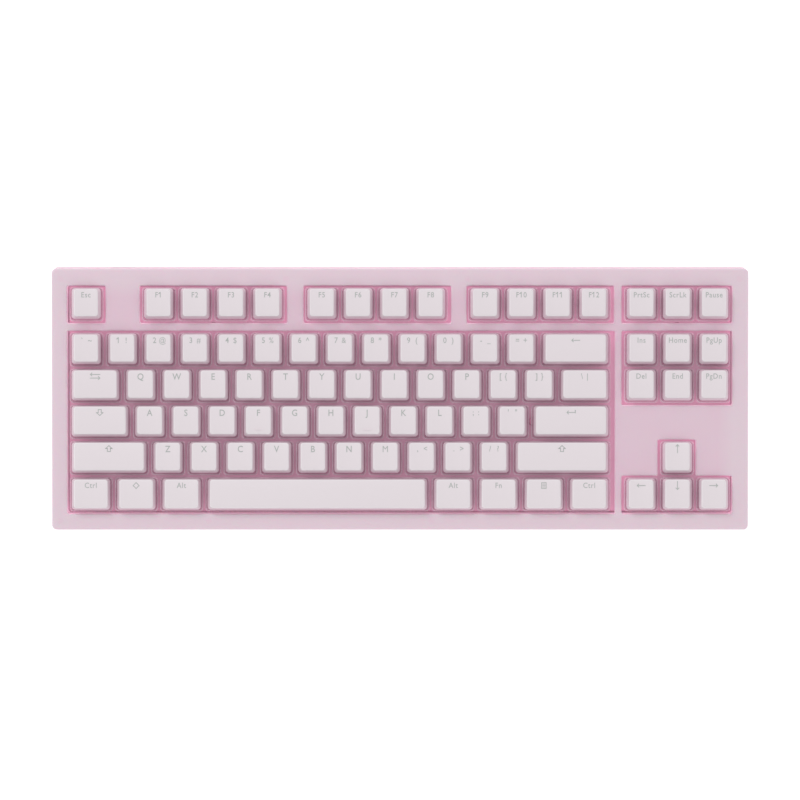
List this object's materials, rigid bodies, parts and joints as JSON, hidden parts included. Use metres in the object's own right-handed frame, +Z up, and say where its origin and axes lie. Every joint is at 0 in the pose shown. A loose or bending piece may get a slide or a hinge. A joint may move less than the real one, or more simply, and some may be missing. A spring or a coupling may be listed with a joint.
{
  "type": "mechanical keyboard",
  "caption": "Tenkeyless mechanical keyboard with a translucent pink two-part acrylic case, sprung switches on a plate, wire stabilisers and two-tone white keycaps.",
  "frame": {"origin": "centre of the footprint on the desk, under the middle of the case", "axes": "+X to the right along the key rows, +Y to the rear, +Z up"},
  "size_m": [0.3662, 0.1401, 0.0433],
  "materials": {
    "case_acrylic": "frosted, matt-polished faces",
    "plate_pink": "satin powder coat",
    "board": "solder mask",
    "component_black": "moulded epoxy",
    "connector_steel": "drawn shell",
    "housing_nylon": "moulded nylon",
    "housing_clear": "clear polycarbonate",
    "spring_steel": "drawn wire",
    "contact_brass": "stamped",
    "screw_steel": "zinc plated",
    "foot_rubber": "matt",
    "keycap_white": "fine moulded texture",
    "keycap_skirt": "frosted translucent",
    "legend_grey": "moulded-in characters"
  },
  "bodies": {
    "case": {"top_frame": "case_acrylic", "bottom_case": "case_acrylic", "switch_plate": "plate_pink", "circuit_board": "board", "board_components": "component_black", "usb_socket": "connector_steel", "switch_lower_housings": "housing_nylon", "switch_upper_housings": "housing_clear", "switch_springs": "spring_steel", "switch_contacts": "contact_brass", "stabiliser_housings": "housing_nylon", "case_screws": "screw_steel", "board_screws": "screw_steel", "rubber_feet": "foot_rubber"},
    "function_keys": {"function_keys": "keycap_white"},
    "number_keys": {"number_keys": "keycap_white"},
    "system_keys": {"system_keys": "keycap_white"},
    "navigation_keys": {"navigation_keys": "keycap_white"},
    "arrow_keys": {"arrow_keys": "keycap_white"},
    "punctuation_keys": {"punctuation_keys": "keycap_white"},
    "modifier_keys": {"modifier_keys": "keycap_white"},
    "key_q": {"key_q": "keycap_white"},
    "key_w": {"key_w": "keycap_white"},
    "key_e": {"key_e": "keycap_white"},
    "key_r": {"key_r": "keycap_white"},
    "key_t": {"key_t": "keycap_white"},
    "key_y": {"key_y": "keycap_white"},
    "key_u": {"key_u": "keycap_white"},
    "key_i": {"key_i": "keycap_white"},
    "key_o": {"key_o": "keycap_white"},
    "key_p": {"key_p": "keycap_white"},
    "key_a": {"key_a": "keycap_white"},
    "key_s": {"key_s": "keycap_white"},
    "key_d": {"key_d": "keycap_white"},
    "key_f": {"key_f": "keycap_white"},
    "key_g": {"key_g": "keycap_white"},
    "key_h": {"key_h": "keycap_white"},
    "key_j": {"key_j": "keycap_white"},
    "key_k": {"key_k": "keycap_white"},
    "key_l": {"key_l": "keycap_white"},
    "key_z": {"key_z": "keycap_white"},
    "key_x": {"key_x": "keycap_white"},
    "key_c": {"key_c": "keycap_white"},
    "key_v": {"key_v": "keycap_white"},
    "key_b": {"key_b": "keycap_white"},
    "key_n": {"key_n": "keycap_white"},
    "key_m": {"key_m": "keycap_white"},
    "key_esc": {"key_esc": "keycap_white"},
    "key_tab": {"key_tab": "keycap_white"},
    "key_caps_lock": {"key_caps_lock": "keycap_white"},
    "key_left_shift": {"key_left_shift": "keycap_white"},
    "key_right_shift": {"key_right_shift": "keycap_white"},
    "key_enter": {"key_enter": "keycap_white"},
    "key_backspace": {"key_backspace": "keycap_white"},
    "key_space": {"key_space": "keycap_white"},
    "stabiliser_wire_backspace": {"stabiliser_wire_backspace": "spring_steel"},
    "stabiliser_wire_enter": {"stabiliser_wire_enter": "spring_steel"},
    "stabiliser_wire_left_shift": {"stabiliser_wire_left_shift": "spring_steel"},
    "stabiliser_wire_right_shift": {"stabiliser_wire_right_shift": "spring_steel"},
    "stabiliser_wire_space": {"stabiliser_wire_space": "spring_steel"}
  },
  "joints": [
    {"name": "function_keys_press", "type": "slide", "parent": "case", "child": "function_keys", "axis": [0, -0.1045, 0.9945], "range_m": [-0.0038, 0], "stiffness_N_per_m": 960, "springref_m": 0.00375, "deforming": ["switch_springs"]},
    {"name": "number_keys_press", "type": "slide", "parent": "case", "child": "number_keys", "axis": [0, -0.1045, 0.9945], "range_m": [-0.0038, 0], "stiffness_N_per_m": 1040, "springref_m": 0.00375, "deforming": ["switch_springs"]},
    {"name": "system_keys_press", "type": "slide", "parent": "case", "child": "system_keys", "axis": [0, -0.1045, 0.9945], "range_m": [-0.0038, 0], "stiffness_N_per_m": 240, "springref_m": 0.00375, "deforming": ["switch_springs"]},
    {"name": "navigation_keys_press", "type": "slide", "parent": "case", "child": "navigation_keys", "axis": [0, -0.1045, 0.9945], "range_m": [-0.0038, 0], "stiffness_N_per_m": 480, "springref_m": 0.00375, "deforming": ["switch_springs"]},
    {"name": "arrow_keys_press", "type": "slide", "parent": "case", "child": "arrow_keys", "axis": [0, -0.1045, 0.9945], "range_m": [-0.0038, 0], "stiffness_N_per_m": 320, "springref_m": 0.00375, "deforming": ["switch_springs"]},
    {"name": "punctuation_keys_press", "type": "slide", "parent": "case", "child": "punctuation_keys", "axis": [0, -0.1045, 0.9945], "range_m": [-0.0038, 0], "stiffness_N_per_m": 640, "springref_m": 0.00375, "deforming": ["switch_springs"]},
    {"name": "modifier_keys_press", "type": "slide", "parent": "case", "child": "modifier_keys", "axis": [0, -0.1045, 0.9945], "range_m": [-0.0038, 0], "stiffness_N_per_m": 560, "springref_m": 0.00375, "deforming": ["switch_springs"]},
    {"name": "key_q_press", "type": "slide", "parent": "case", "child": "key_q", "axis": [0, -0.1045, 0.9945], "range_m": [-0.0038, 0], "stiffness_N_per_m": 80, "springref_m": 0.00375, "deforming": ["switch_springs"]},
    {"name": "key_w_press", "type": "slide", "parent": "case", "child": "key_w", "axis": [0, -0.1045, 0.9945], "range_m": [-0.0038, 0], "stiffness_N_per_m": 80, "springref_m": 0.00375, "deforming": ["switch_springs"]},
    {"name": "key_e_press", "type": "slide", "parent": "case", "child": "key_e", "axis": [0, -0.1045, 0.9945], "range_m": [-0.0038, 0], "stiffness_N_per_m": 80, "springref_m": 0.00375, "deforming": ["switch_springs"]},
    {"name": "key_r_press", "type": "slide", "parent": "case", "child": "key_r", "axis": [0, -0.1045, 0.9945], "range_m": [-0.0038, 0], "stiffness_N_per_m": 80, "springref_m": 0.00375, "deforming": ["switch_springs"]},
    {"name": "key_t_press", "type": "slide", "parent": "case", "child": "key_t", "axis": [0, -0.1045, 0.9945], "range_m": [-0.0038, 0], "stiffness_N_per_m": 80, "springref_m": 0.00375, "deforming": ["switch_springs"]},
    {"name": "key_y_press", "type": "slide", "parent": "case", "child": "key_y", "axis": [0, -0.1045, 0.9945], "range_m": [-0.0038, 0], "stiffness_N_per_m": 80, "springref_m": 0.00375, "deforming": ["switch_springs"]},
    {"name": "key_u_press", "type": "slide", "parent": "case", "child": "key_u", "axis": [0, -0.1045, 0.9945], "range_m": [-0.0038, 0], "stiffness_N_per_m": 80, "springref_m": 0.00375, "deforming": ["switch_springs"]},
    {"name": "key_i_press", "type": "slide", "parent": "case", "child": "key_i", "axis": [0, -0.1045, 0.9945], "range_m": [-0.0038, 0], "stiffness_N_per_m": 80, "springref_m": 0.00375, "deforming": ["switch_springs"]},
    {"name": "key_o_press", "type": "slide", "parent": "case", "child": "key_o", "axis": [0, -0.1045, 0.9945], "range_m": [-0.0038, 0], "stiffness_N_per_m": 80, "springref_m": 0.00375, "deforming": ["switch_springs"]},
    {"name": "key_p_press", "type": "slide", "parent": "case", "child": "key_p", "axis": [0, -0.1045, 0.9945], "range_m": [-0.0038, 0], "stiffness_N_per_m": 80, "springref_m": 0.00375, "deforming": ["switch_springs"]},
    {"name": "key_a_press", "type": "slide", "parent": "case", "child": "key_a", "axis": [0, -0.1045, 0.9945], "range_m": [-0.0038, 0], "stiffness_N_per_m": 80, "springref_m": 0.00375, "deforming": ["switch_springs"]},
    {"name": "key_s_press", "type": "slide", "parent": "case", "child": "key_s", "axis": [0, -0.1045, 0.9945], "range_m": [-0.0038, 0], "stiffness_N_per_m": 80, "springref_m": 0.00375, "deforming": ["switch_springs"]},
    {"name": "key_d_press", "type": "slide", "parent": "case", "child": "key_d", "axis": [0, -0.1045, 0.9945], "range_m": [-0.0038, 0], "stiffness_N_per_m": 80, "springref_m": 0.00375, "deforming": ["switch_springs"]},
    {"name": "key_f_press", "type": "slide", "parent": "case", "child": "key_f", "axis": [0, -0.1045, 0.9945], "range_m": [-0.0038, 0], "stiffness_N_per_m": 80, "springref_m": 0.00375, "deforming": ["switch_springs"]},
    {"name": "key_g_press", "type": "slide", "parent": "case", "child": "key_g", "axis": [0, -0.1045, 0.9945], "range_m": [-0.0038, 0], "stiffness_N_per_m": 80, "springref_m": 0.00375, "deforming": ["switch_springs"]},
    {"name": "key_h_press", "type": "slide", "parent": "case", "child": "key_h", "axis": [0, -0.1045, 0.9945], "range_m": [-0.0038, 0], "stiffness_N_per_m": 80, "springref_m": 0.00375, "deforming": ["switch_springs"]},
    {"name": "key_j_press", "type": "slide", "parent": "case", "child": "key_j", "axis": [0, -0.1045, 0.9945], "range_m": [-0.0038, 0], "stiffness_N_per_m": 80, "springref_m": 0.00375, "deforming": ["switch_springs"]},
    {"name": "key_k_press", "type": "slide", "parent": "case", "child": "key_k", "axis": [0, -0.1045, 0.9945], "range_m": [-0.0038, 0], "stiffness_N_per_m": 80, "springref_m": 0.00375, "deforming": ["switch_springs"]},
    {"name": "key_l_press", "type": "slide", "parent": "case", "child": "key_l", "axis": [0, -0.1045, 0.9945], "range_m": [-0.0038, 0], "stiffness_N_per_m": 80, "springref_m": 0.00375, "deforming": ["switch_springs"]},
    {"name": "key_z_press", "type": "slide", "parent": "case", "child": "key_z", "axis": [0, -0.1045, 0.9945], "range_m": [-0.0038, 0], "stiffness_N_per_m": 80, "springref_m": 0.00375, "deforming": ["switch_springs"]},
    {"name": "key_x_press", "type": "slide", "parent": "case", "child": "key_x", "axis": [0, -0.1045, 0.9945], "range_m": [-0.0038, 0], "stiffness_N_per_m": 80, "springref_m": 0.00375, "deforming": ["switch_springs"]},
    {"name": "key_c_press", "type": "slide", "parent": "case", "child": "key_c", "axis": [0, -0.1045, 0.9945], "range_m": [-0.0038, 0], "stiffness_N_per_m": 80, "springref_m": 0.00375, "deforming": ["switch_springs"]},
    {"name": "key_v_press", "type": "slide", "parent": "case", "child": "key_v", "axis": [0, -0.1045, 0.9945], "range_m": [-0.0038, 0], "stiffness_N_per_m": 80, "springref_m": 0.00375, "deforming": ["switch_springs"]},
    {"name": "key_b_press", "type": "slide", "parent": "case", "child": "key_b", "axis": [0, -0.1045, 0.9945], "range_m": [-0.0038, 0], "stiffness_N_per_m": 80, "springref_m": 0.00375, "deforming": ["switch_springs"]},
    {"name": "key_n_press", "type": "slide", "parent": "case", "child": "key_n", "axis": [0, -0.1045, 0.9945], "range_m": [-0.0038, 0], "stiffness_N_per_m": 80, "springref_m": 0.00375, "deforming": ["switch_springs"]},
    {"name": "key_m_press", "type": "slide", "parent": "case", "child": "key_m", "axis": [0, -0.1045, 0.9945], "range_m": [-0.0038, 0], "stiffness_N_per_m": 80, "springref_m": 0.00375, "deforming": ["switch_springs"]},
    {"name": "key_esc_press", "type": "slide", "parent": "case", "child": "key_esc", "axis": [0, -0.1045, 0.9945], "range_m": [-0.0038, 0], "stiffness_N_per_m": 80, "springref_m": 0.00375, "deforming": ["switch_springs"]},
    {"name": "key_tab_press", "type": "slide", "parent": "case", "child": "key_tab", "axis": [0, -0.1045, 0.9945], "range_m": [-0.0038, 0], "stiffness_N_per_m": 80, "springref_m": 0.00375, "deforming": ["switch_springs"]},
    {"name": "key_caps_lock_press", "type": "slide", "parent": "case", "child": "key_caps_lock", "axis": [0, -0.1045, 0.9945], "range_m": [-0.0038, 0], "stiffness_N_per_m": 80, "springref_m": 0.00375, "deforming": ["switch_springs"]},
    {"name": "key_left_shift_press", "type": "slide", "parent": "case", "child": "key_left_shift", "axis": [0, -0.1045, 0.9945], "range_m": [-0.0038, 0], "stiffness_N_per_m": 80, "springref_m": 0.00375, "deforming": ["switch_springs"]},
    {"name": "key_right_shift_press", "type": "slide", "parent": "case", "child": "key_right_shift", "axis": [0, -0.1045, 0.9945], "range_m": [-0.0038, 0], "stiffness_N_per_m": 80, "springref_m": 0.00375, "deforming": ["switch_springs"]},
    {"name": "key_enter_press", "type": "slide", "parent": "case", "child": "key_enter", "axis": [0, -0.1045, 0.9945], "range_m": [-0.0038, 0], "stiffness_N_per_m": 80, "springref_m": 0.00375, "deforming": ["switch_springs"]},
    {"name": "key_backspace_press", "type": "slide", "parent": "case", "child": "key_backspace", "axis": [0, -0.1045, 0.9945], "range_m": [-0.0038, 0], "stiffness_N_per_m": 80, "springref_m": 0.00375, "deforming": ["switch_springs"]},
    {"name": "key_space_press", "type": "slide", "parent": "case", "child": "key_space", "axis": [0, -0.1045, 0.9945], "range_m": [-0.0038, 0], "stiffness_N_per_m": 80, "springref_m": 0.00375, "deforming": ["switch_springs"]},
    {"name": "stabiliser_wire_backspace_turn", "type": "hinge", "parent": "case", "child": "stabiliser_wire_backspace", "pos_m": [0.09228, 0.01675, 0.02046], "axis": [1, 0, 0], "range_deg": [-32.5, 0.5]},
    {"name": "stabiliser_wire_enter_turn", "type": "hinge", "parent": "case", "child": "stabiliser_wire_enter", "pos_m": [0.0899, -0.02114, 0.01648], "axis": [1, 0, 0], "range_deg": [-32.5, 0.5]},
    {"name": "stabiliser_wire_left_shift_turn", "type": "hinge", "parent": "case", "child": "stabiliser_wire_left_shift", "pos_m": [-0.15299, -0.04008, 0.01449], "axis": [1, 0, 0], "range_deg": [-32.5, 0.5]},
    {"name": "stabiliser_wire_right_shift_turn", "type": "hinge", "parent": "case", "child": "stabiliser_wire_right_shift", "pos_m": [0.08514, -0.04008, 0.01449], "axis": [1, 0, 0], "range_deg": [-32.5, 0.5]},
    {"name": "stabiliser_wire_space_turn", "type": "hinge", "parent": "case", "child": "stabiliser_wire_space", "pos_m": [-0.04345, -0.05903, 0.0125], "axis": [1, 0, 0], "range_deg": [-32.5, 0.5]}
  ],
  "couplings": [
    {"joint": "stabiliser_wire_backspace_turn", "follows": "key_backspace_press", "rad_per_m": 146.98},
    {"joint": "stabiliser_wire_enter_turn", "follows": "key_enter_press", "rad_per_m": 146.98},
    {"joint": "stabiliser_wire_left_shift_turn", "follows": "key_left_shift_press", "rad_per_m": 146.98},
    {"joint": "stabiliser_wire_right_shift_turn", "follows": "key_right_shift_press", "rad_per_m": 146.98},
    {"joint": "stabiliser_wire_space_turn", "follows": "key_space_press", "rad_per_m": 146.98}
  ]
}
